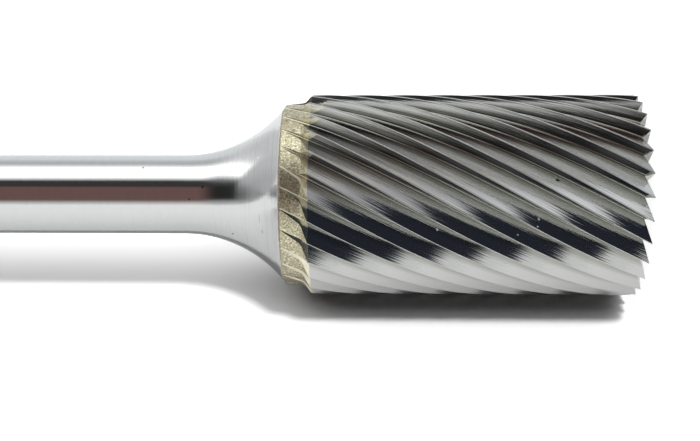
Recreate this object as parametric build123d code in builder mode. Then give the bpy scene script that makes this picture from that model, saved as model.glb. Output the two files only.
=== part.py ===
"""Cylindrical carbide burr with end teeth: 16 mm head, 25.4 mm long, on a 6.35 mm shank.

It stands on its head. The axis is +Z, the crests of the end teeth lie in the plane Z = 0,
and the shank points up. Sizes are in millimetres and angles in degrees.
"""

import os
from math import cos, degrees, radians, sin, sqrt, tan

from build123d import *

# Driving dimensions
HEAD_DIAMETER = 16.0
CARBIDE_LENGTH = 25.4
BRAZE_LENGTH = 2.1
OVERALL_LENGTH = 69.85
SHANK_DIAMETER = 6.35
SHANK_END_CHAMFER = 0.5

# Neck of the shank: a hollow curve from the plain shank out to the brazed face
STEEL_FACE_DIAMETER = 14.3
STEEL_EDGE_CHAMFER = 0.15
NECK_RADIUS = 10.5

# Braze ring: a plain band, then a cone up to the head's full diameter
BAND_DIAMETER = 14.36
CONE_LENGTH = 0.95

# Flutes: right-hand spiral, right-hand cut
TOOTH_COUNT = 28
HELIX_ANGLE = 29.4
TOOTH_DEPTH = 0.85
RAKE_FACE_WIDTH = 0.22

# End teeth: one for each flute, radial, running out to nothing at the centre
END_TOOTH_DEPTH = 0.65
END_LAND_WIDTH = 0.05
CENTRE_RELIEF_DIAMETER = 3.0
CENTRE_RELIEF_FLOOR = 0.6
CENTRE_RELIEF_DEPTH = 0.25

# Worked out from the above
HEAD_RADIUS = HEAD_DIAMETER / 2
SHANK_RADIUS = SHANK_DIAMETER / 2
STEEL_FACE_RADIUS = STEEL_FACE_DIAMETER / 2
BAND_RADIUS = BAND_DIAMETER / 2
STEEL_START = CARBIDE_LENGTH + BRAZE_LENGTH
TOOTH_PITCH = 360 / TOOTH_COUNT
TWIST_PER_MM = degrees(tan(radians(HELIX_ANGLE)) / HEAD_RADIUS)
CUTTER_OVERRUN = 2.0
ON_AXIS_UPWARDS = (Align.CENTER, Align.CENTER, Align.MIN)


def on_circle(radius, angle):
    """The point at that radius and angle round the burr's axis."""
    return (radius * cos(radians(angle)), radius * sin(radians(angle)))


# One tooth in cross section: its tip, and the root at the foot of the next tooth's rake face.
# The flank falls straight from the tip to that root.
tooth_corners = [
    (HEAD_RADIUS, 0.0),
    (HEAD_RADIUS - TOOTH_DEPTH, TOOTH_PITCH - degrees(RAKE_FACE_WIDTH / HEAD_RADIUS)),
]

with BuildSketch() as flute_section:
    with BuildLine():
        Polyline(
            *[
                on_circle(radius, tooth * TOOTH_PITCH + angle)
                for tooth in range(TOOTH_COUNT)
                for radius, angle in tooth_corners
            ],
            close=True,
        )
    make_face()

# The fluted bar that the carbide and the braze ring are both cut from
fluted_bar = Solid.extrude_linear_with_rotation(
    flute_section.sketch.face(), (0, 0, 0), (0, 0, STEEL_START), TWIST_PER_MM * STEEL_START
)

# Cutter for one end tooth: an upright wall on the X axis, and a floor that rises from the
# wall's top to the crest of the next tooth. Both pass through the centre of the head.
cutter_reach = HEAD_RADIUS + CUTTER_OVERRUN
wall_height = END_TOOTH_DEPTH * cutter_reach / HEAD_RADIUS
crest_angle = TOOTH_PITCH - degrees(END_LAND_WIDTH / HEAD_RADIUS)
crest_offset = -cutter_reach * tan(radians(crest_angle))

with BuildSketch(Plane.YZ.offset(cutter_reach)) as cutter_face:
    with BuildLine():
        Polyline((0, wall_height), (2 * crest_offset, -wall_height), (0, -wall_height), close=True)
    make_face()

with BuildPart() as end_cutter:
    loft([cutter_face.sketch.face(), Vertex(0, 0, 0)])

# Carbide head
with BuildPart() as carbide_head:
    Cylinder(cutter_reach, CARBIDE_LENGTH, align=ON_AXIS_UPWARDS)
    add(fluted_bar, mode=Mode.INTERSECT)
    with PolarLocations(0, TOOTH_COUNT):
        add(end_cutter.part, mode=Mode.SUBTRACT)
    Cone(
        CENTRE_RELIEF_DIAMETER / 2,
        CENTRE_RELIEF_FLOOR / 2,
        CENTRE_RELIEF_DEPTH,
        align=ON_AXIS_UPWARDS,
        mode=Mode.SUBTRACT,
    )

# Braze ring
with BuildPart() as braze_joint:
    with BuildSketch(Plane.XZ):
        with BuildLine():
            Polyline(
                (0, CARBIDE_LENGTH),
                (HEAD_RADIUS, CARBIDE_LENGTH),
                (BAND_RADIUS, CARBIDE_LENGTH + CONE_LENGTH),
                (BAND_RADIUS, STEEL_START),
                (0, STEEL_START),
                close=True,
            )
        make_face()
    revolve(axis=Axis.Z)
    add(fluted_bar, mode=Mode.INTERSECT)

# Steel shank
neck_rise = STEEL_FACE_RADIUS - SHANK_RADIUS
neck_length = sqrt(NECK_RADIUS**2 - (NECK_RADIUS - neck_rise) ** 2)
neck_end = STEEL_START + neck_length

with BuildPart() as steel_shank:
    with BuildSketch(Plane.XZ):
        with BuildLine():
            Polyline(
                (STEEL_FACE_RADIUS, STEEL_START),
                (0, STEEL_START),
                (0, OVERALL_LENGTH),
                (SHANK_RADIUS, OVERALL_LENGTH),
                (SHANK_RADIUS, neck_end),
            )
            RadiusArc(
                (SHANK_RADIUS, neck_end), (STEEL_FACE_RADIUS, STEEL_START), -NECK_RADIUS
            )
        make_face()
    revolve(axis=Axis.Z)
    round_edges = steel_shank.edges().filter_by(GeomType.CIRCLE).sort_by(Axis.Z)
    chamfer(round_edges[-1], SHANK_END_CHAMFER)
    chamfer(round_edges[0], STEEL_EDGE_CHAMFER)

os.makedirs("parts", exist_ok=True)
for name, piece in (
    ("carbide_head", carbide_head),
    ("braze_joint", braze_joint),
    ("steel_shank", steel_shank),
):
    piece.part.label = name
    export_step(piece.part, f"parts/{name}.step")
    print(name, round(piece.part.volume, 1), piece.part.is_valid, len(piece.part.faces()))
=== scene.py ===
import logging
import math
from collections.abc import Callable
from dataclasses import dataclass
from enum import Enum

import bpy
import numpy as np
from mathutils import Matrix, Vector


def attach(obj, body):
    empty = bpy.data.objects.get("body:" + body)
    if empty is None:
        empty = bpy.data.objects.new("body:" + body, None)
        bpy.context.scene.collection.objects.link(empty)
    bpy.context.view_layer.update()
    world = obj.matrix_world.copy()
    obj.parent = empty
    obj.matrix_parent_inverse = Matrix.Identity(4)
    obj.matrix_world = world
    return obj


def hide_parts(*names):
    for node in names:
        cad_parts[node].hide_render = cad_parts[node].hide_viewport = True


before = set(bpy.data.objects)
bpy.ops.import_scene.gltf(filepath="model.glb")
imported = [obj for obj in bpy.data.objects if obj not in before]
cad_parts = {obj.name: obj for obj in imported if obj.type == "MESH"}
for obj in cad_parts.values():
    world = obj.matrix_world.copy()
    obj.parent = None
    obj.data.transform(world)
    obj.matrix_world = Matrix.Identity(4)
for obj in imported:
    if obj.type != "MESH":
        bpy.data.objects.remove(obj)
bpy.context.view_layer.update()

log = logging.getLogger("carbide_burr")

MM = 0.001
Colour = tuple[float, float, float]
Point = tuple[float, float, float]
Stop = tuple[float, Colour]


class Slot(Enum):
    """The record's material slots."""

    STEEL = "steel"
    BRAZE = "braze"
    CARBIDE = "carbide"


# Node building


class Graph:
    """Builds one node tree, with short calls for the nodes that the finishes share."""

    def __init__(self, tree: bpy.types.NodeTree) -> None:
        """Starts on an emptied tree.

        Args:
            tree: the node tree to fill.
        """
        self.tree = tree
        tree.nodes.clear()

    def node(
        self, kind: str, feeds: dict[str | int, object] | None = None, **settings: object
    ) -> bpy.types.Node:
        """Adds a node.

        Args:
            kind: Blender's name of the node's type.
            feeds: what goes into its inputs, by their names or numbers.
            settings: properties to set on it first.

        Returns:
            The new node.
        """
        made = self.tree.nodes.new(kind)
        for name, value in settings.items():
            setattr(made, name, value)
        for key, value in (feeds or {}).items():
            self.feed(made.inputs[key], value)
        return made

    def feed(self, socket: bpy.types.NodeSocket, value: object) -> None:
        """Links a socket to another, or sets its value.

        Args:
            socket: the input.
            value: an output socket, a number or a tuple.
        """
        if isinstance(value, bpy.types.NodeSocket):
            self.tree.links.new(value, socket)
        elif isinstance(value, tuple) and len(value) == 3 and socket.type == "RGBA":
            socket.default_value = (*value, 1.0)
        else:
            socket.default_value = value

    def maths(self, operation: str, *values: object, clamp: bool = False) -> bpy.types.NodeSocket:
        """One Math node.

        Args:
            operation: such as "ADD".
            values: sockets or numbers, in order.
            clamp: keeps the result between 0 and 1.

        Returns:
            The result.
        """
        feeds = dict(enumerate(values))
        return self.node("ShaderNodeMath", feeds, operation=operation, use_clamp=clamp).outputs[0]

    def vector(self, operation: str, *values: object) -> bpy.types.NodeSocket:
        """One Vector Math node.

        Args:
            operation: such as "MULTIPLY".
            values: sockets or tuples, in order.

        Returns:
            The vector result, or the number that the operation gives.
        """
        made = self.node("ShaderNodeVectorMath", dict(enumerate(values)), operation=operation)
        single = operation in ("DOT_PRODUCT", "LENGTH")
        return made.outputs["Value" if single else "Vector"]

    def mix(self, factor: object, a: object, b: object) -> bpy.types.NodeSocket:
        """Mixes two colours.

        Args:
            factor: the share of b.
            a: a colour or socket.
            b: a colour or socket.

        Returns:
            The mixed colour.
        """
        return self.node("ShaderNodeMix", {0: factor, 6: a, 7: b}, data_type="RGBA").outputs[2]

    def between(self, value: object, low: float, high: float, smooth: bool = True) -> bpy.types.NodeSocket:
        """A step from 0 at low to 1 at high.

        Args:
            value: the number to test.
            low: where the step starts.
            high: where it ends; below low, the step falls.
            smooth: eases both ends.

        Returns:
            The step, between 0 and 1.
        """
        ends = (low, high, 0.0, 1.0) if low <= high else (high, low, 1.0, 0.0)
        feeds = dict(zip(("Value", "From Min", "From Max", "To Min", "To Max"), (value, *ends)))
        easing = "SMOOTHSTEP" if smooth else "LINEAR"
        return self.node("ShaderNodeMapRange", feeds, interpolation_type=easing).outputs["Result"]

    def ramp(self, value: object, stops: tuple[Stop, ...]) -> bpy.types.NodeSocket:
        """A colour ramp whose stops are given in the value's own units.

        Args:
            value: the number to look up.
            stops: (position, colour) pairs in rising order.

        Returns:
            The colour.
        """
        low, high = stops[0][0], stops[-1][0]
        scaled = self.maths("DIVIDE", self.maths("SUBTRACT", value, low), high - low, clamp=True)
        made = self.node("ShaderNodeValToRGB", {0: scaled})
        ramp = made.color_ramp
        while len(ramp.elements) > 1:
            ramp.elements.remove(ramp.elements[-1])
        ramp.elements[0].position = 0.0
        ramp.elements[0].color = (*stops[0][1], 1.0)
        for place, colour in stops[1:]:
            element = ramp.elements.new((place - low) / (high - low))
            element.color = (*colour, 1.0)
        return made.outputs[0]

    def noise(
        self, place: object, scale: float, detail: float = 2.0, roughness: float = 0.5
    ) -> bpy.types.NodeSocket:
        """Smooth noise between 0 and 1.

        Args:
            place: the vector to read it at.
            scale: features per unit of that vector.
            detail: octaves.
            roughness: how much the finer octaves count.

        Returns:
            The noise value.
        """
        feeds = {"Vector": place, "Scale": scale, "Detail": detail, "Roughness": roughness}
        return self.node("ShaderNodeTexNoise", feeds).outputs[0]

    def twisted(self, place: object, rate: object) -> bpy.types.NodeSocket:
        """Turns a place round the upright axis in proportion to its height.

        Args:
            place: the vector to turn.
            rate: the turn in radians for each metre of height.

        Returns:
            The turned vector.
        """
        height = self.node("ShaderNodeSeparateXYZ", {0: place}).outputs["Z"]
        feeds = {"Vector": place, "Angle": self.maths("MULTIPLY", height, rate)}
        return self.node("ShaderNodeVectorRotate", feeds, rotation_type="Z_AXIS").outputs[0]

    def bump(self, height: object, depth: float, under: object = None) -> bpy.types.NodeSocket:
        """A bump of a real depth.

        Args:
            height: a number between 0 and 1.
            depth: the height in metres that 1 stands for.
            under: a normal from an earlier bump.

        Returns:
            The bumped normal.
        """
        feeds = {"Strength": 1.0, "Distance": depth, "Height": height}
        if under is not None:
            feeds["Normal"] = under
        return self.node("ShaderNodeBump", feeds).outputs[0]


def new_metal(name: str) -> tuple[bpy.types.Material, Graph, bpy.types.Node, bpy.types.NodeSocket]:
    """Makes a material with one metallic Principled shader.

    Args:
        name: the material's name.

    Returns:
        The material, its graph, its shader node and the place on the object.
    """
    material = bpy.data.materials.new(name)
    material.use_nodes = True
    graph = Graph(material.node_tree)
    shader = graph.node("ShaderNodeBsdfPrincipled", {"Metallic": 1.0})
    graph.node("ShaderNodeOutputMaterial", {"Surface": shader.outputs[0]})
    return material, graph, shader, graph.node("ShaderNodeTexCoord").outputs["Object"]


# Finishes


@dataclass(frozen=True)
class Mark:
    """A small fault in a surface: its middle and its reach each way in millimetres, and its colour."""

    middle: Point
    reach: Point
    colour: Colour

    def mask(self, graph: Graph, place: object) -> bpy.types.NodeSocket:
        """How far the mark covers a place.

        Args:
            graph: the material's graph.
            place: the place, in metres.

        Returns:
            1 inside the mark and 0 outside.
        """
        gap = graph.vector("SUBTRACT", place, tuple(c * MM for c in self.middle))
        scaled = graph.vector("MULTIPLY", gap, tuple(1.0 / (c * MM) for c in self.reach))
        return graph.between(graph.vector("LENGTH", scaled), 1.0, 0.6)


@dataclass(frozen=True)
class BrightSteel:
    """Ground and polished steel, with fine turning marks that are plainer round the neck.

    marks_across, clouds and wear are features for each metre. The shades darken the colour. The edge by the
    braze is painted near white as a painted highlight.
    """

    colour: Colour = (0.71, 0.72, 0.72)
    roughness: float = 0.10
    shank_marks: float = 0.0005 * MM
    neck_marks: float = 0.0045 * MM
    mark_pitch: float = 0.09 * MM
    marks_across: float = 120.0
    neck_end: float = 35.5 * MM
    neck_blend: float = 4.0 * MM
    streak_share: float = 0.45
    streak_shade: float = 0.7
    clouds: float = 1100.0
    cloud_shade: float = 0.9
    wear: float = 2500.0
    wear_depth: float = 0.05
    # Below rim_end the steel is painted near white and made rough: a painted highlight along the edge by
    # the braze.
    rim_end: float = 27.68 * MM
    rim_blend: float = 0.03 * MM
    painted_rim_highlight: Colour = (0.97, 0.97, 0.97)
    rim_extra_roughness: float = 0.45
    faults: tuple[Mark, ...] = (
        Mark((-1.19, -2.94, 38.63), (0.10, 0.10, 0.10), (0.20, 0.19, 0.18)),
        Mark((-2.69, -2.00, 33.83), (0.12, 0.12, 0.09), (0.13, 0.12, 0.12)),
        Mark((-3.01, -1.11, 34.87), (0.10, 0.10, 0.08), (0.18, 0.17, 0.17)),
        Mark((-5.41, -0.71, 29.19), (0.30, 0.50, 0.030), (0.42, 0.42, 0.43)),
        Mark((-5.61, 0.31, 29.00), (0.16, 0.22, 0.055), (0.38, 0.38, 0.38)),
        Mark((-3.73, 1.54, 31.55), (0.11, 0.11, 0.11), (0.16, 0.15, 0.15)),
        Mark((-2.77, -4.57, 29.33), (0.12, 0.12, 0.09), (0.95, 0.95, 0.95)),
    )

    def material(self) -> bpy.types.Material:
        """Builds the material.

        Returns:
            The finished material.
        """
        material, graph, shader, place = new_metal("bright_steel")
        height = graph.vector("DOT_PRODUCT", place, (0.0, 0.0, 1.0))
        on_neck = graph.between(height, self.neck_end, self.neck_end - self.neck_blend)
        across = self.marks_across
        rings = graph.vector("MULTIPLY", place, (across, across, 1.0 / self.mark_pitch))
        marks = graph.noise(rings, 1.0, 3.0, 0.65)
        faintest = self.shank_marks / self.neck_marks
        strength = graph.maths("MULTIPLY_ADD", on_neck, 1.0 - faintest, faintest)
        normal = graph.bump(graph.maths("MULTIPLY", marks, strength), self.neck_marks)
        cloudy = graph.noise(graph.vector("MULTIPLY", place, (1.0, 1.0, 3.0)), self.clouds, 3.0, 0.6)
        colour = graph.mix(cloudy, self.colour, tuple(self.cloud_shade * c for c in self.colour))
        most = graph.maths("MULTIPLY", on_neck, self.streak_share)
        streaks = graph.maths("MULTIPLY", graph.between(marks, 0.52, 0.72), most)
        colour = graph.mix(streaks, colour, tuple(self.streak_shade * c for c in self.colour))
        for fault in self.faults:
            colour = graph.mix(fault.mask(graph, place), colour, fault.colour)
        graph.feed(shader.inputs["Normal"], normal)
        least = self.roughness - self.wear_depth / 2
        worn = graph.maths("MULTIPLY_ADD", graph.noise(place, self.wear, 2.0), self.wear_depth, least)
        # Painted highlight: the edge by the braze is mixed to near white.
        rim = graph.between(height, self.rim_end, self.rim_end - self.rim_blend)
        graph.feed(shader.inputs["Base Color"], graph.mix(rim, colour, self.painted_rim_highlight))
        rough = graph.maths("MULTIPLY_ADD", rim, self.rim_extra_roughness, worn)
        graph.feed(shader.inputs["Roughness"], rough)
        return material


@dataclass(frozen=True)
class BrazeAlloy:
    """Pale gold brazing alloy: satin and finely pitted, brighter where the flutes were ground."""

    colour: Colour = (0.52, 0.48, 0.33)
    light: Colour = (0.90, 0.87, 0.71)
    dark: Colour = (0.12, 0.10, 0.045)
    ground_colour: Colour = (0.80, 0.77, 0.60)
    roughness: float = 0.36
    ground_roughness: float = 0.20
    grain: float = 0.14 * MM
    grain_depth: float = 0.020 * MM
    patch: float = 1.12 * MM
    pit_share: float = 0.45
    ground_shade: float = 0.82
    ground_grain: float = 0.1

    def material(self) -> bpy.types.Material:
        """Builds the material.

        Returns:
            The finished material.
        """
        material, graph, shader, place = new_metal("braze_alloy")
        ground = graph.node("ShaderNodeAttribute", attribute_name="ground").outputs["Fac"]
        fine = graph.noise(place, 1.0 / self.grain, 3.0, 0.7)
        broad = graph.noise(place, 1.0 / self.patch, 2.0)
        patches = graph.between(broad, 0.36, 0.62)
        cast = graph.mix(graph.between(fine, 0.53, 0.64), self.colour, self.light)
        most = graph.maths("MULTIPLY_ADD", patches, self.pit_share, self.pit_share)
        pits = graph.maths("MULTIPLY", graph.between(fine, 0.48, 0.37), most)
        cast = graph.mix(pits, cast, self.dark)
        shaded = tuple(self.ground_shade * c for c in self.ground_colour)
        ground_tone = graph.mix(patches, self.ground_colour, shaded)
        graph.feed(shader.inputs["Base Color"], graph.mix(ground, cast, ground_tone))
        rough = graph.maths("MULTIPLY_ADD", ground, self.ground_roughness - self.roughness, self.roughness)
        graph.feed(shader.inputs["Roughness"], rough)
        left = graph.maths("MULTIPLY_ADD", ground, self.ground_grain - 1.0, 1.0)
        depth = graph.maths("MULTIPLY", fine, left)
        graph.feed(shader.inputs["Normal"], graph.bump(depth, self.grain_depth))
        return material


@dataclass(frozen=True)
class GroundCarbide:
    """Ground tungsten carbide: mirror bright, with grinding lines that follow the flutes.

    twist is the flutes' turn in radians for each metre. The gullet bottoms are darker: painted shade in the
    recesses.
    """

    twist: float
    colour: Colour = (0.54, 0.545, 0.535)
    roughness: float = 0.10
    # Painted shade: inside gullet_radius, the gullet bottoms are darker than the open flanks.
    painted_gullet_shade: Colour = (0.36, 0.365, 0.335)
    gullet_radius: float = 7.30 * MM
    gullet_blend: float = 0.3 * MM
    fault_extra_roughness: float = 0.5
    faults: tuple[Mark, ...] = (
        Mark((-5.98, -4.29, 7.00), (0.14, 0.14, 0.20), (0.06, 0.06, 0.07)),
        Mark((-7.30, -1.75, 8.37), (0.09, 0.24, 0.10), (0.98, 0.98, 0.98)),
        Mark((-7.32, -0.86, 15.79), (0.11, 0.11, 0.11), (0.98, 0.98, 0.98)),
        Mark((-7.65, -0.63, 9.87), (0.07, 0.09, 0.09), (0.98, 0.98, 0.98)),
        Mark((-7.73, -1.36, 8.47), (0.07, 0.08, 0.08), (0.98, 0.98, 0.98)),
    )
    comb_depth: float = 0.0085 * MM
    comb_width: float = 0.11 * MM
    comb_length: float = 9.0 * MM
    hair_depth: float = 0.0011 * MM
    hair_width: float = 0.035 * MM
    hair_length: float = 5.0 * MM

    def material(self) -> bpy.types.Material:
        """Builds the material.

        Returns:
            The finished material.
        """
        material, graph, shader, place = new_metal("ground_carbide")
        unwound = graph.twisted(place, -self.twist)
        normal = None
        for width, length, depth in (
            (self.comb_width, self.comb_length, self.comb_depth),
            (self.hair_width, self.hair_length, self.hair_depth),
        ):
            stretched = graph.vector("MULTIPLY", unwound, (1.0 / width, 1.0 / width, 1.0 / length))
            normal = graph.bump(graph.noise(stretched, 1.0, 2.0, 0.5), depth, normal)
        graph.feed(shader.inputs["Normal"], normal)
        # Painted shade in the gullets: the colour is darker below gullet_radius.
        radius = graph.vector("LENGTH", graph.vector("MULTIPLY", place, (1.0, 1.0, 0.0)))
        clear_of_gullet_shade = graph.between(radius, self.gullet_radius, self.gullet_radius + self.gullet_blend)
        colour = graph.mix(clear_of_gullet_shade, self.painted_gullet_shade, self.colour)
        rough = self.roughness
        for fault in self.faults:
            mask = fault.mask(graph, place)
            colour = graph.mix(mask, colour, fault.colour)
            rough = graph.maths("MULTIPLY_ADD", mask, self.fault_extra_roughness, rough)
        graph.feed(shader.inputs["Base Color"], colour)
        graph.feed(shader.inputs["Roughness"], rough)
        return material


# Shapes


def add_object(name: str, data: bpy.types.ID) -> bpy.types.Object:
    """Makes an object at the origin and puts it in the scene.

    Args:
        name: the object's name.
        data: its mesh, camera or light.

    Returns:
        The new object.
    """
    made = bpy.data.objects.new(name, data)
    bpy.context.scene.collection.objects.link(made)
    return made


def halve(low: float, high: float, holds: Callable[[float], bool]) -> tuple[float, float]:
    """Closes in on the place where a test stops holding.

    Args:
        low: a place where it holds.
        high: a place where it doesn't.
        holds: the test.

    Returns:
        The places just before and just after it.
    """
    for _ in range(60):
        middle = (low + high) / 2
        low, high = (middle, high) if holds(middle) else (low, middle)
    return low, high


def on_circle(radius: float, degrees: float) -> tuple[float, float]:
    """The x and y of a point at a distance and an angle in degrees from the axis."""
    return radius * math.cos(math.radians(degrees)), radius * math.sin(math.radians(degrees))


def mesh_from_grid(
    name: str, columns: list[list[Point]], ground: list[bool] | None = None
) -> bpy.types.Mesh:
    """Skins a grid of points with quads.

    Args:
        name: the mesh's name.
        columns: lists of points in millimetres, all with the same number of points.
        ground: whether the flutes cut the strip from each row of points to the next.

    Returns:
        The new mesh in metres, with its repeated points left in.
    """
    rows = [np.array(row) * MM for row in zip(*columns)]
    count = len(columns)
    points = np.concatenate(rows)
    faces, marks = [], []
    for r in range(len(rows) - 1):
        for c in range(count - 1):
            a = r * count + c
            quad = (a, a + 1, a + 1 + count, a + count)
            kept = []
            for index in quad:
                if all(np.linalg.norm(points[index] - points[k]) > 1e-8 for k in kept):
                    kept.append(index)
            if len(kept) > 2:
                faces.append(kept)
                marks.append(1.0 if ground is not None and ground[r] else 0.0)
    mesh = bpy.data.meshes.new(name)
    mesh.from_pydata(points.tolist(), [], faces)
    if ground is not None:
        mesh.attributes.new("ground", "FLOAT", "FACE").data.foreach_set("value", marks)
    mesh.update()
    return mesh


@dataclass(frozen=True)
class ToothProfile:
    """One flute pitch in cross section, in millimetres: land, gullet and rake, with small real radii."""

    head_radius: float = 8.0
    count: int = 28
    helix_angle: float = 29.4
    root_depth: float = 0.87
    rake_width: float = 0.235
    tip_radius: float = 0.06
    root_radius: float = 0.085
    start: float = 4.0
    least_step: float = 0.02
    support: float = 0.015
    arc_step: float = 15.0
    weld: float = 0.0004
    sharp_angle: float = 17.0

    @property
    def pitch(self) -> float:
        """Angle from one tooth to the next, in degrees."""
        return 360.0 / self.count

    @property
    def twist(self) -> float:
        """Turn of the flutes, in degrees for each millimetre of height."""
        return math.degrees(math.tan(math.radians(self.helix_angle)) / self.head_radius)

    def corners(self) -> list[Point]:
        """Corners of the section as (radius, angle, rounding), over a little more than one pitch."""
        root_angle = self.pitch - math.degrees(self.rake_width / self.head_radius)
        tip = (self.head_radius, 0.0, self.tip_radius)
        root = (self.head_radius - self.root_depth, root_angle, self.root_radius)
        turned = [(r, a + self.pitch, f) for r, a, f in (tip, root)]
        return [tip, root, *turned]

    def outline(self, extra: tuple[float, ...] = (), spacing: float = 0.26) -> np.ndarray:
        """Points across one pitch, from the middle of one land to the middle of the next.

        Args:
            extra: angles at which a point is wanted besides.
            spacing: greatest gap between points on the flats, in millimetres.

        Returns:
            An array of (radius, angle in degrees) rows.
        """
        corners = self.corners()
        flat = [(np.array(on_circle(r, a)), f) for r, a, f in corners]
        path = [flat[0][0]]
        for (before, _), (corner, radius), (after, _) in zip(flat, flat[1:], flat[2:]):
            path += self.rounded(before, corner, after, radius)
        path.append(flat[-1][0])
        dense = [path[0]]
        for a, b in zip(path, path[1:]):
            pieces = max(1, math.ceil(np.linalg.norm(b - a) / spacing))
            dense += [a + (b - a) * i / pieces for i in range(1, pieces + 1)]
        points = np.array(dense)
        polar = np.stack(
            [np.hypot(points[:, 0], points[:, 1]), np.degrees(np.arctan2(points[:, 1], points[:, 0]))], 1
        )
        wanted = [self.start, self.start + self.pitch, self.pitch, *extra]
        found = [(self.radius_at(polar, a), a) for a in wanted]
        merged = np.array([*map(tuple, polar), *found])
        merged = merged[np.argsort(merged[:, 1], kind="stable")]
        past = merged[:, 1] - self.start
        merged = merged[(past >= -1e-9) & (past <= self.pitch + 1e-9)]
        keep = [0]
        for i in range(1, len(merged)):
            if merged[i, 1] - merged[keep[-1], 1] > self.least_step:
                keep.append(i)
            elif any(abs(merged[i, 1] - w) < 1e-9 for w in wanted):
                keep[-1] = i
        return merged[keep]

    def rounded(
        self, before: np.ndarray, corner: np.ndarray, after: np.ndarray, radius: float
    ) -> list[np.ndarray]:
        """A corner as an arc, with a support point a little before and after it.

        Args:
            before: the corner before.
            corner: the corner to round.
            after: the corner after.
            radius: the arc's radius.

        Returns:
            The points in order.
        """
        u = (before - corner) / np.linalg.norm(before - corner)
        v = (after - corner) / np.linalg.norm(after - corner)
        half = math.acos(float(np.clip(u @ v, -1, 1))) / 2
        reach = radius / math.tan(half)
        centre = corner + (u + v) / np.linalg.norm(u + v) * radius / math.sin(half)
        first, last = corner + u * reach - centre, corner + v * reach - centre
        steps = max(2, round(math.degrees(math.pi - 2 * half) / self.arc_step))
        angle = math.atan2(first[1], first[0])
        sweep = math.atan2(first[0] * last[1] - first[1] * last[0], float(first @ last))
        turns = [angle + sweep * i / steps for i in range(steps + 1)]
        arc = [centre + radius * np.array([math.cos(turn), math.sin(turn)]) for turn in turns]
        return [arc[0] + u * self.support, *arc, arc[-1] + v * self.support]

    @staticmethod
    def radius_at(polar: np.ndarray, angle: float) -> float:
        """Radius of the section at an angle.

        Args:
            polar: (radius, angle) rows in rising angle.
            angle: where to read it.

        Returns:
            The radius in millimetres.
        """
        return float(np.interp(angle, polar[:, 1], polar[:, 0]))


def wind_round(
    name: str, sector: bpy.types.Mesh, profile: ToothProfile, material: bpy.types.Material
) -> bpy.types.Object:
    """Winds a straight one-tooth sector into its spiral and repeats it all round with Geometry Nodes.

    Args:
        name: the finished piece's name.
        sector: mesh of one straight tooth, in metres.
        profile: gives the number of teeth and the twist.
        material: what the piece is made of.

    Returns:
        The finished piece as a plain mesh object.
    """
    tree = bpy.data.node_groups.new(f"{name}_teeth", "GeometryNodeTree")
    tree.is_modifier = True
    for label, kind in (
        ("Geometry", "NodeSocketGeometry"),
        ("Tooth Count", "NodeSocketInt"),
        ("Twist per Metre", "NodeSocketFloat"),
        ("Weld Distance", "NodeSocketFloat"),
        ("Material", "NodeSocketMaterial"),
    ):
        tree.interface.new_socket(label, in_out="INPUT", socket_type=kind)
    tree.interface.new_socket("Geometry", in_out="OUTPUT", socket_type="NodeSocketGeometry")
    graph = Graph(tree)
    inputs = graph.node("NodeGroupInput").outputs

    place = graph.node("GeometryNodeInputPosition").outputs[0]
    turned = graph.twisted(place, inputs["Twist per Metre"])
    wound = graph.node("GeometryNodeSetPosition", {"Geometry": inputs["Geometry"], "Position": turned})

    points = graph.node("GeometryNodePoints", {"Count": inputs["Tooth Count"]})
    index = graph.node("GeometryNodeInputIndex").outputs[0]
    share = graph.maths("DIVIDE", index, inputs["Tooth Count"])
    angles = graph.node("ShaderNodeCombineXYZ", {"Z": graph.maths("MULTIPLY", share, 2 * math.pi)})
    feeds = {"Points": points.outputs[0], "Instance": wound.outputs[0], "Rotation": angles.outputs[0]}
    ring = graph.node("GeometryNodeInstanceOnPoints", feeds)
    real = graph.node("GeometryNodeRealizeInstances", {0: ring.outputs[0]})
    feeds = {"Geometry": real.outputs[0], "Distance": inputs["Weld Distance"]}
    weld = graph.node("GeometryNodeMergeByDistance", feeds)
    feeds = {"Geometry": weld.outputs[0], "Material": inputs["Material"]}
    coat = graph.node("GeometryNodeSetMaterial", feeds)
    graph.node("NodeGroupOutput", {0: coat.outputs[0]})

    source = add_object(f"{name}_source", sector)
    modifier = source.modifiers.new("teeth", "NODES")
    modifier.node_group = tree
    sizes = {
        "Tooth Count": profile.count,
        "Twist per Metre": math.radians(profile.twist) / MM,
        "Weld Distance": profile.weld * MM,
        "Material": material,
    }
    for item in tree.interface.items_tree:
        if item.in_out == "INPUT" and item.name in sizes:
            modifier[item.identifier] = sizes[item.name]
    bpy.context.view_layer.update()
    evaluated = source.evaluated_get(bpy.context.evaluated_depsgraph_get())
    mesh = bpy.data.meshes.new_from_object(evaluated)
    mesh.name = name
    bpy.data.objects.remove(source)
    bpy.data.node_groups.remove(tree)
    piece = add_object(name, mesh)
    mesh.shade_smooth()
    mesh.set_sharp_from_angle(angle=math.radians(profile.sharp_angle))
    return piece


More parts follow.
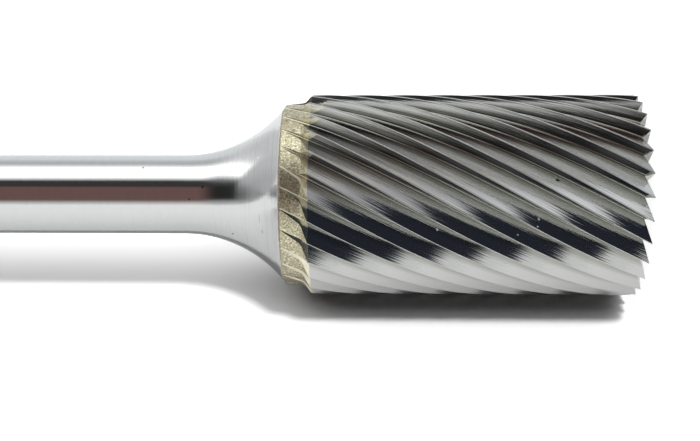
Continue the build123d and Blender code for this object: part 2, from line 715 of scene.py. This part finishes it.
@dataclass
class CarbideHead:
    """The fluted carbide head with its end teeth. Sizes are in millimetres."""

    profile: ToothProfile
    length: float = 25.4
    end_tooth_depth: float = 0.65
    end_land: float = 0.05
    relief_radius: float = 1.5
    relief_floor_radius: float = 0.3
    relief_depth: float = 0.25
    end_shares: tuple[float, ...] = (0.0, 0.2, 0.45, 0.7, 0.9)
    core_share: float = 0.6
    rows: int = 58

    def crest(self) -> float:
        """Angle of an end tooth's crest edge past its wall, in degrees."""
        return math.degrees(self.end_land / self.profile.head_radius)

    def floor_height(self, radius: float, past: float) -> float:
        """Height of an end tooth's floor.

        Args:
            radius: distance from the axis.
            past: angle past the tooth's wall, in degrees.

        Returns:
            The height in millimetres.
        """
        p = self.profile
        behind = math.radians(p.pitch - past)
        reach = math.radians(p.pitch - self.crest())
        slope = self.end_tooth_depth / p.head_radius
        return slope * radius * (math.cos(behind) - math.sin(behind) / math.tan(reach))

    def end_height(self, radius: float, angle: float) -> float:
        """Height at which a straight line of the sector leaves the end.

        Args:
            radius: the line's distance from the axis.
            angle: the line's angle with the twist taken out.

        Returns:
            The height in millimetres.
        """
        p = self.profile
        past = angle % p.pitch
        if abs(past - p.pitch) < 1e-6:
            past = 0.0
        if past <= self.crest() + 1e-9:
            return 0.0
        wall = (p.pitch - past) / p.twist

        def below_floor(height: float) -> bool:
            """Whether the line is still under the floor at a height."""
            return self.floor_height(radius, past + p.twist * height) > height

        return wall if below_floor(wall) else halve(0.0, wall, below_floor)[0]

    def wall_corner(self) -> float:
        """Angle of the line that starts where an end tooth's floor meets its wall."""
        p = self.profile
        outline = p.outline()

        def above_floor(angle: float) -> bool:
            """Whether the line that starts on the wall at an angle clears the floor."""
            wall = (p.pitch - angle) / p.twist
            return self.floor_height(p.radius_at(outline, angle), p.pitch) <= wall

        return halve(p.pitch - math.degrees(p.rake_width / p.head_radius), p.pitch, above_floor)[1]

    def sector(self) -> bpy.types.Mesh:
        """Builds one straight tooth, from the middle of the end to the top of the head.

        Returns:
            The mesh, in metres.
        """
        p = self.profile
        columns = p.outline(extra=(p.pitch + self.crest(), self.wall_corner()))
        grid = []
        for radius, angle in columns:
            start = self.end_height(radius, angle)
            slope = start / radius
            around = angle + p.twist * start
            fall = self.relief_depth / (self.relief_radius - self.relief_floor_radius)
            inner = fall * self.relief_radius / (fall + slope)
            line = [(0.0, around, self.relief_depth), (self.relief_floor_radius, around, self.relief_depth)]
            for share in self.end_shares:
                r = inner + (radius - inner) * share
                line.append((r, around, slope * r))
            for step in range(self.rows + 1):
                height = start + (self.length - start) * step / self.rows
                line.append((radius, angle + p.twist * height, height))
            last = angle + p.twist * self.length
            line += [(radius * self.core_share, last, self.length), (0.0, last, self.length)]
            grid.append([(*on_circle(r, a - p.twist * z), z) for r, a, z in line])
        return mesh_from_grid("carbide_tooth", grid)

    def build(self) -> bpy.types.Object:
        """Makes the whole head.

        Returns:
            The finished piece.
        """
        finish = GroundCarbide(twist=math.radians(self.profile.twist) / MM).material()
        piece = wind_round("ground_head", self.sector(), self.profile, finish)
        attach(piece, "root")
        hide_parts("carbide_head")
        return piece


@dataclass
class BrazeRing:
    """The ring of brazing alloy: a shoulder and a plain band that the flutes run out on.

    Sizes are in millimetres, and shape holds (distance from the carbide, radius) points.
    """

    profile: ToothProfile
    start: float = 25.4
    length: float = 2.1
    band_radius: float = 7.18
    shape: tuple[tuple[float, float], ...] = (
        (0.0, 8.0),
        (0.45, 7.47),
        (0.58, 7.37),
        (0.8, 7.32),
        (2.1, 7.18),
    )
    core_share: float = 0.6
    core_radius: float = 6.0
    point_gap: float = 0.08
    ground_rows: int = 6
    shoulder_rows: int = 14
    row_crowding: float = 1.5
    edge_rounding: float = 0.02

    def reach(self, along: float) -> float:
        """Radius of the uncut ring at a distance from the carbide."""
        places, radii = zip(*self.shape)
        return float(np.interp(along, places, radii))

    def meeting(self, radius: float) -> float:
        """Distance from the carbide at which a line of the flutes leaves the ring."""
        places, radii = zip(*self.shape)
        return float(np.interp(-radius, [-r for r in radii], places))

    def crossings(self) -> tuple[float, float]:
        """Angles at which the section crosses the band's radius, down the gullet and up the rake."""
        p = self.profile
        outline = p.outline()
        inside = outline[outline[:, 0] < self.band_radius]
        low, high = inside[0, 1], inside[-1, 1]
        before = outline[outline[:, 1] < low][-1]
        after = outline[outline[:, 1] > high][0]
        down = np.interp(-self.band_radius, [-before[0], -inside[0, 0]], [before[1], low])
        up = np.interp(self.band_radius, [inside[-1, 0], after[0]], [high, after[1]])
        return float(down), float(up)

    def sector(self) -> bpy.types.Mesh:
        """Builds one straight tooth's share of the ring.

        Returns:
            The mesh, in metres.
        """
        p = self.profile
        columns = p.outline(extra=self.crossings(), spacing=self.point_gap)
        end = self.start + self.length
        grid = []
        for radius, angle in columns:
            meets = self.start + self.meeting(radius)
            line = [(0.0, self.start), (radius * self.core_share, self.start)]
            ground = self.ground_rows
            line += [(radius, self.start + (meets - self.start) * i / ground) for i in range(ground + 1)]
            for i in range(1, self.shoulder_rows + 1):
                share = (i / self.shoulder_rows) ** self.row_crowding
                z = meets + (end - self.edge_rounding - meets) * share
                line.append((min(radius, self.reach(z - self.start)), z))
            outer = min(radius, self.band_radius)
            line += [(outer - self.edge_rounding, end), (self.core_radius, end), (0.0, end)]
            grid.append([(*on_circle(r, angle), z) for r, z in line])
        cut = [2 <= i < 2 + self.ground_rows for i in range(len(grid[0]) - 1)]
        return mesh_from_grid("braze_tooth", grid, cut)

    def build(self) -> bpy.types.Object:
        """Makes the whole ring.

        Returns:
            The finished piece.
        """
        piece = wind_round("braze_ring", self.sector(), self.profile, BrazeAlloy().material())
        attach(piece, "root")
        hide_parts("braze_joint")
        return piece


@dataclass
class SteelShank:
    """The turned steel shank with its hollow neck. Sizes are in millimetres."""

    start: float = 27.5
    end: float = 69.85
    radius: float = 3.175
    face_radius: float = 7.15
    neck_radius: float = 10.5
    edge_chamfer: float = 0.15
    end_chamfer: float = 0.5
    core_radius: float = 4.0
    sharp_angle: float = 40.0
    neck_rows: int = 60
    shank_rows: int = 20
    around: int = 224

    def outline(self) -> list[tuple[float, float]]:
        """Half section of the shank as (radius, height) points, from the brazed face to the far end."""
        rise = self.face_radius - self.radius
        neck = math.sqrt(self.neck_radius**2 - (self.neck_radius - rise) ** 2)
        neck_end = self.start + neck
        centre = self.radius + self.neck_radius

        def hollow(z: float) -> float:
            """Radius of the neck's hollow curve at a height."""
            return centre - math.sqrt(self.neck_radius**2 - (neck_end - z) ** 2)

        # Points a few hundredths of a millimetre from each corner keep the edges crisp.
        low, high = self.start, self.start + self.edge_chamfer
        wide = hollow(high)
        foot = wide - self.edge_chamfer
        points = [(0.0, low), (self.core_radius, low), (foot - 0.03, low), (foot + 0.01, low)]
        points += [(wide - 0.02, high - 0.035), (wide, high - 0.005)]
        for i in range(1, self.neck_rows + 1):
            height = high + (neck_end - high) * i / self.neck_rows
            points.append((hollow(height), height))
        stop = self.end - self.end_chamfer
        for i in range(1, self.shank_rows + 1):
            points.append((self.radius, neck_end + (stop - 0.03 - neck_end) * i / self.shank_rows))
        points += [(self.radius - 0.012, stop), (self.radius - 0.04, stop + 0.04)]
        low_edge = self.radius - self.end_chamfer
        points += [(low_edge + 0.04, self.end - 0.04), (low_edge, self.end - 0.01)]
        points.append((low_edge - 0.04, self.end))
        points += [(low_edge * 0.5, self.end), (0.0, self.end)]
        return points

    def build(self) -> bpy.types.Object:
        """Makes the shank.

        Returns:
            The finished piece.
        """
        outline = self.outline()
        points, faces = [], []
        rings: list[list[int]] = []
        for radius, height in outline:
            if radius < 1e-9:
                rings.append([len(points)] * self.around)
                points.append((0.0, 0.0, height * MM))
                continue
            rings.append(list(range(len(points), len(points) + self.around)))
            for step in range(self.around):
                angle = 2 * math.pi * step / self.around
                points.append((radius * math.cos(angle) * MM, radius * math.sin(angle) * MM, height * MM))
        for lower, upper in zip(rings, rings[1:]):
            for step in range(self.around):
                after = (step + 1) % self.around
                corners = (lower[step], lower[after], upper[after], upper[step])
                face = list(dict.fromkeys(corners))
                if len(face) > 2:
                    faces.append(face)
        mesh = bpy.data.meshes.new("steel_body")
        mesh.from_pydata(points, [], faces)
        mesh.update()
        mesh.shade_smooth()
        mesh.set_sharp_from_angle(angle=math.radians(self.sharp_angle))
        mesh.materials.append(BrightSteel().material())
        piece = add_object("steel_body", mesh)
        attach(piece, "root")
        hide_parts("steel_shank")
        return piece


# Studio


@dataclass(frozen=True)
class LightRow:
    """Light round the axis at one place along it, in degrees. A narrowing row closes in."""

    first: float
    last: float
    stops: tuple[Stop, ...]
    narrowing: bool = False


def grey_stops(*stops: tuple[float, float]) -> tuple[Stop, ...]:
    """Stops of plain grey, given as (angle, level) pairs."""
    return tuple((float(angle), (level, level, level * 1.01)) for angle, level in stops)


@dataclass
class Studio:
    """Pale floor, backdrop, soft light all round and the camera.

    Sides are angles round the burr's axis in degrees, distances are in millimetres, and narrow_from
    and narrow_to are the angles along the axis over which the dark side closes in.
    """

    camera_side: float = 207.24
    camera_distance: float = 90.46
    camera_height: float = 19.736
    camera_yaw: float = -1.722
    camera_pitch: float = -1.318
    camera_roll: float = 0.106
    focal_pixels: float = 1127.6
    picture_pixels: float = 700.0
    sensor_width: float = 36.0
    backdrop_side: float = 266.24
    backdrop_gap: float = 8.0
    glow: float = 1.9
    mirrored_paper: float = 0.545
    underside_light: float = 0.15
    paper_glow: float = 1.5
    dark_middle: float = 16.5
    narrow_from: float = 27.0
    narrow_to: float = 44.0
    narrowing: float = 0.35
    paper_light: float = 0.4
    paper_colour: Colour = (0.97, 0.97, 0.97)
    floor_glow: float = 0.62
    sheet_half: float = 800.0
    lamp_distance: float = 300.0
    light_map: int = 1024

    def directions(self) -> tuple[Vector, Vector, Vector]:
        """Unit vectors from the axis to the camera, up in its picture, and away from the backdrop."""
        side, face = math.radians(self.camera_side), math.radians(self.backdrop_side)
        towards = Vector((math.cos(side), math.sin(side), 0.0))
        up = Vector((-math.sin(side), math.cos(side), 0.0))
        return towards, up, Vector((math.cos(face), math.sin(face), 0.0))

    def camera(self) -> None:
        """Places the camera."""
        towards, up, _ = self.directions()
        yaw, pitch, roll = (math.radians(a) for a in (self.camera_yaw, self.camera_pitch, self.camera_roll))
        along = Vector((0.0, 0.0, -1.0))
        forward = (
            along * math.sin(yaw) * math.cos(pitch)
            + up * math.sin(pitch)
            - towards * math.cos(yaw) * math.cos(pitch)
        )
        right = forward.cross(up).normalized()
        top = right.cross(forward)
        turned = right * math.cos(roll) + top * math.sin(roll)
        top = top * math.cos(roll) - right * math.sin(roll)
        data = bpy.data.cameras.new("camera")
        data.sensor_fit = "HORIZONTAL"
        data.sensor_width = self.sensor_width
        data.lens = self.focal_pixels / self.picture_pixels * self.sensor_width
        data.clip_start, data.clip_end = 0.005, 10.0
        camera = add_object("camera", data)
        place = towards * self.camera_distance * MM + Vector((0, 0, self.camera_height * MM))
        rotation = Matrix((turned, top, -forward)).transposed()
        camera.matrix_world = Matrix.Translation(place) @ rotation.to_4x4()
        bpy.context.scene.camera = camera

    def stations(self) -> tuple[LightRow, ...]:
        """Light round the axis at set places along it, from beyond the shank to beyond the head."""
        glow = (self.glow,) * 3
        table = (0.95, 0.96, 0.95)
        navy, brown, black = (0.024, 0.029, 0.040), (0.185, 0.108, 0.100), (0.050, 0.046, 0.048)
        far = grey_stops((-180, 0.50), (-31, 0.53), (-12, 0.38), (10, 0.37), (40, 0.48), (90, 0.56))
        far += grey_stops((180, 0.52))
        wide = grey_stops((-180, 0.56), (-31, 0.63), (-16, 0.22), (0, 0.16), (20, 0.26), (40, 0.52))
        wide += grey_stops((60, 0.63), (110, 0.68), (180, 0.68))
        edge = grey_stops((-180, 0.66), (-31, 0.74), (-13, 0.045), (-6, 0.026), (20, 0.028))
        edge += grey_stops((32, 0.07), (42, 0.25))
        edge += ((52.0, (1.0, 1.0, 1.0)), (60.0, glow), (84.0, glow))
        edge += grey_stops((100, 0.94), (110, 0.82), (125, 0.73), (180, 0.75))
        middle = (
            (-180.0, table),
            (-31.0, table),
            (-17.0, brown),
            (19.0, brown),
            (23.0, black),
            (38.0, black),
            (47.0, (1.2, 1.2, 1.2)),
            (52.0, glow),
            (82.0, glow),
            (89.0, (1.0, 1.0, 1.0)),
            (99.0, (0.58, 0.58, 0.58)),
            (113.0, (0.68, 0.70, 0.72)),
            (119.0, (0.86, 0.89, 0.92)),
            (180.0, table),
        )
        plain = (0.05, 0.047, 0.052)
        front = tuple((p, plain if -20 < p < 39 else colour) for p, colour in middle)
        over_head = ((-180.0, table), (-31.0, table), (-20.0, (0.52, 0.52, 0.53)))
        over_head += ((0.0, (0.40, 0.40, 0.42)), (15.0, (0.19, 0.20, 0.22)), (38.0, (0.17, 0.18, 0.20)))
        over_head += middle[6:]
        shaded = ((-180.0, table), (-24.5, table), (-17.5, navy), (58.0, navy))
        near_head = shaded + ((61.5, (0.38, 0.38, 0.40)), (72.0, (0.52, 0.52, 0.55)))
        near_head += ((90.0, (0.66, 0.65, 0.62)), (104.0, (0.66, 0.64, 0.55)), (122.0, (0.52, 0.50, 0.41)))
        near_head += grey_stops((140, 0.6), (180, 0.7))
        past_head = shaded + ((61.5, (0.74, 0.74, 0.75)), (68.0, (1.00, 1.01, 1.02)))
        past_head += ((90.0, (1.02, 1.05, 1.07)), (105.0, (0.86, 0.93, 0.99)), (120.0, (0.62, 0.70, 0.79)))
        past_head += grey_stops((180, 0.7))
        beyond = grey_stops((-180, 1.0), (180, 1.0))
        return (
            LightRow(-90.0, -78.0, far),
            LightRow(-64.0, -63.0, wide),
            LightRow(-57.0, -42.0, edge),
            LightRow(-25.0, -10.0, middle),
            LightRow(-7.0, -5.0, front),
            LightRow(1.0, 6.0, over_head),
            LightRow(13.0, 26.0, near_head, narrowing=True),
            LightRow(40.0, 55.0, past_head, narrowing=True),
            LightRow(70.0, 90.0, beyond),
        )

    def world(self) -> None:
        """Builds the light all round: a softbox over the backdrop, a dark camera side, pale beyond."""
        towards, up, _ = self.directions()
        world = bpy.data.worlds.new("studio")
        bpy.context.scene.world = world
        world.use_nodes = True
        graph = Graph(world.node_tree)
        ray = graph.node("ShaderNodeTexCoord").outputs["Generated"]
        c = graph.vector("DOT_PRODUCT", ray, tuple(towards))
        u = graph.vector("DOT_PRODUCT", ray, tuple(up))
        a = graph.vector("DOT_PRODUCT", ray, (0.0, 0.0, -1.0))
        around = graph.maths("MULTIPLY", graph.maths("ARCTAN2", u, c), 180 / math.pi)
        along = graph.maths("MULTIPLY", graph.maths("ARCSINE", a), 180 / math.pi)
        middle = self.dark_middle
        closing = graph.between(along, self.narrow_from, self.narrow_to, smooth=False)
        spread = graph.maths("MULTIPLY_ADD", closing, self.narrowing, 1.0)
        narrowed = graph.maths("MULTIPLY_ADD", graph.maths("SUBTRACT", around, middle), spread, middle)
        first, *others = self.stations()
        light = graph.ramp(around, first.stops)
        reached = first.last
        for station in others:
            row = graph.ramp(narrowed if station.narrowing else around, station.stops)
            light = graph.mix(graph.between(along, reached, station.first), light, row)
            reached = station.last
        path = graph.node("ShaderNodeLightPath").outputs
        dimmed = graph.mix(self.paper_light, (0.0, 0.0, 0.0), light)
        light = graph.mix(path["Is Glossy Ray"], dimmed, light)
        colour = graph.mix(path["Is Camera Ray"], light, (1.0, 1.0, 1.0))
        background = graph.node("ShaderNodeBackground", {"Color": colour})
        graph.node("ShaderNodeOutputWorld", {"Surface": background.outputs[0]})
        world.cycles.sampling_method = "MANUAL"
        world.cycles.sample_map_resolution = self.light_map

    def lamp(self, name: str, round_axis: float, along: float, strength: float, size: float) -> None:
        """Adds a distant lamp that lights the paper but is not mirrored in the metal.

        Args:
            name: the lamp's name.
            round_axis: its angle round the burr's axis, from the camera's side, in degrees.
            along: its angle towards the floor, in degrees.
            strength: its light.
            size: its apparent size in degrees.
        """
        towards, up, _ = self.directions()
        turn, tip = math.radians(round_axis), math.radians(along)
        side = towards * math.cos(turn) + up * math.sin(turn)
        place = side * math.cos(tip) - Vector((0.0, 0.0, math.sin(tip)))
        data = bpy.data.lights.new(name, "SUN")
        data.energy = strength
        data.angle = math.radians(size)
        lamp = add_object(name, data)
        lamp.rotation_mode = "QUATERNION"
        lamp.rotation_quaternion = place.to_track_quat("Z", "Y")
        lamp.location = place * self.lamp_distance * MM
        lamp.visible_glossy = False

    def one_sided(self, name: str, camera_glow: float) -> bpy.types.Material:
        """Pale matt paper that is clear from behind.

        Args:
            name: the material's name.
            camera_glow: share of plain white that the camera sees, besides the lit paper.

        Returns:
            The material.
        """
        material = bpy.data.materials.new(name)
        material.use_nodes = True
        graph = Graph(material.node_tree)
        path = graph.node("ShaderNodeLightPath").outputs
        mirrored = graph.mix(
            graph.between(path["Diffuse Depth"], 0.4, 0.6),
            (self.mirrored_paper,) * 3,
            (self.mirrored_paper * self.underside_light,) * 3,
        )
        seen = graph.mix(path["Is Glossy Ray"], self.paper_colour, mirrored)
        paper = graph.node("ShaderNodeBsdfDiffuse", {"Color": seen})
        white = graph.node("ShaderNodeEmission", {"Strength": self.paper_glow})
        share = graph.maths("MULTIPLY", path["Is Camera Ray"], camera_glow)
        lit = graph.node("ShaderNodeMixShader", {0: share, 1: paper.outputs[0], 2: white.outputs[0]})
        behind = graph.node("ShaderNodeNewGeometry").outputs["Backfacing"]
        clear = graph.node("ShaderNodeBsdfTransparent")
        front = graph.node("ShaderNodeMixShader", {0: behind, 1: lit.outputs[0], 2: clear.outputs[0]})
        graph.node("ShaderNodeOutputMaterial", {"Surface": front.outputs[0]})
        return material

    def sheet(self, name: str, centre: Vector, across: Vector, upwards: Vector) -> bpy.types.Object:
        """A large flat stage sheet that faces across x upwards.

        Args:
            name: the sheet's name.
            centre: its middle.
            across: unit vector along one side.
            upwards: unit vector along the other side.

        Returns:
            The sheet.
        """
        half = self.sheet_half * MM
        signs = ((-1, -1), (1, -1), (1, 1), (-1, 1))
        corners = [centre + across * (i * half) + upwards * (j * half) for i, j in signs]
        mesh = bpy.data.meshes.new(name)
        mesh.from_pydata([tuple(c) for c in corners], [], [(0, 1, 2, 3)])
        sheet = add_object(name, mesh)
        sheet.visible_shadow = False
        sheet.visible_diffuse = False
        return sheet

    def build(self) -> None:
        """Sets out the floor, backdrop, light and camera."""
        _, _, away = self.directions()
        floor = self.sheet("floor", Vector((0, 0, 0)), Vector((1, 0, 0)), Vector((0, 1, 0)))
        floor.visible_glossy = False
        floor.data.materials.append(self.one_sided("floor_paper", self.floor_glow))
        gap = self.backdrop_gap * MM
        z = Vector((0, 0, 1))
        backdrop = self.sheet("backdrop", away * -gap, z.cross(away), z)
        backdrop.data.materials.append(self.one_sided("backdrop_paper", 0.0))
        self.world()
        self.lamp("small_lamp", round_axis=44.0, along=12.0, strength=2.4, size=9.0)
        self.lamp("soft_lamp", round_axis=80.0, along=-10.0, strength=3.2, size=110.0)
        self.camera()


def main() -> None:
    """Builds the burr and its studio, and reports each piece."""
    profile = ToothProfile()
    for maker in (CarbideHead(profile), BrazeRing(profile), SteelShank()):
        piece = maker.build()
        log.info("%s: %d points, %d faces", piece.name, len(piece.data.vertices), len(piece.data.polygons))
    Studio().build()
    bpy.context.scene.view_settings.view_transform = "Standard"
    log.info("studio ready")


if __name__ == "__main__":
    logging.basicConfig(level=logging.INFO)
    main()
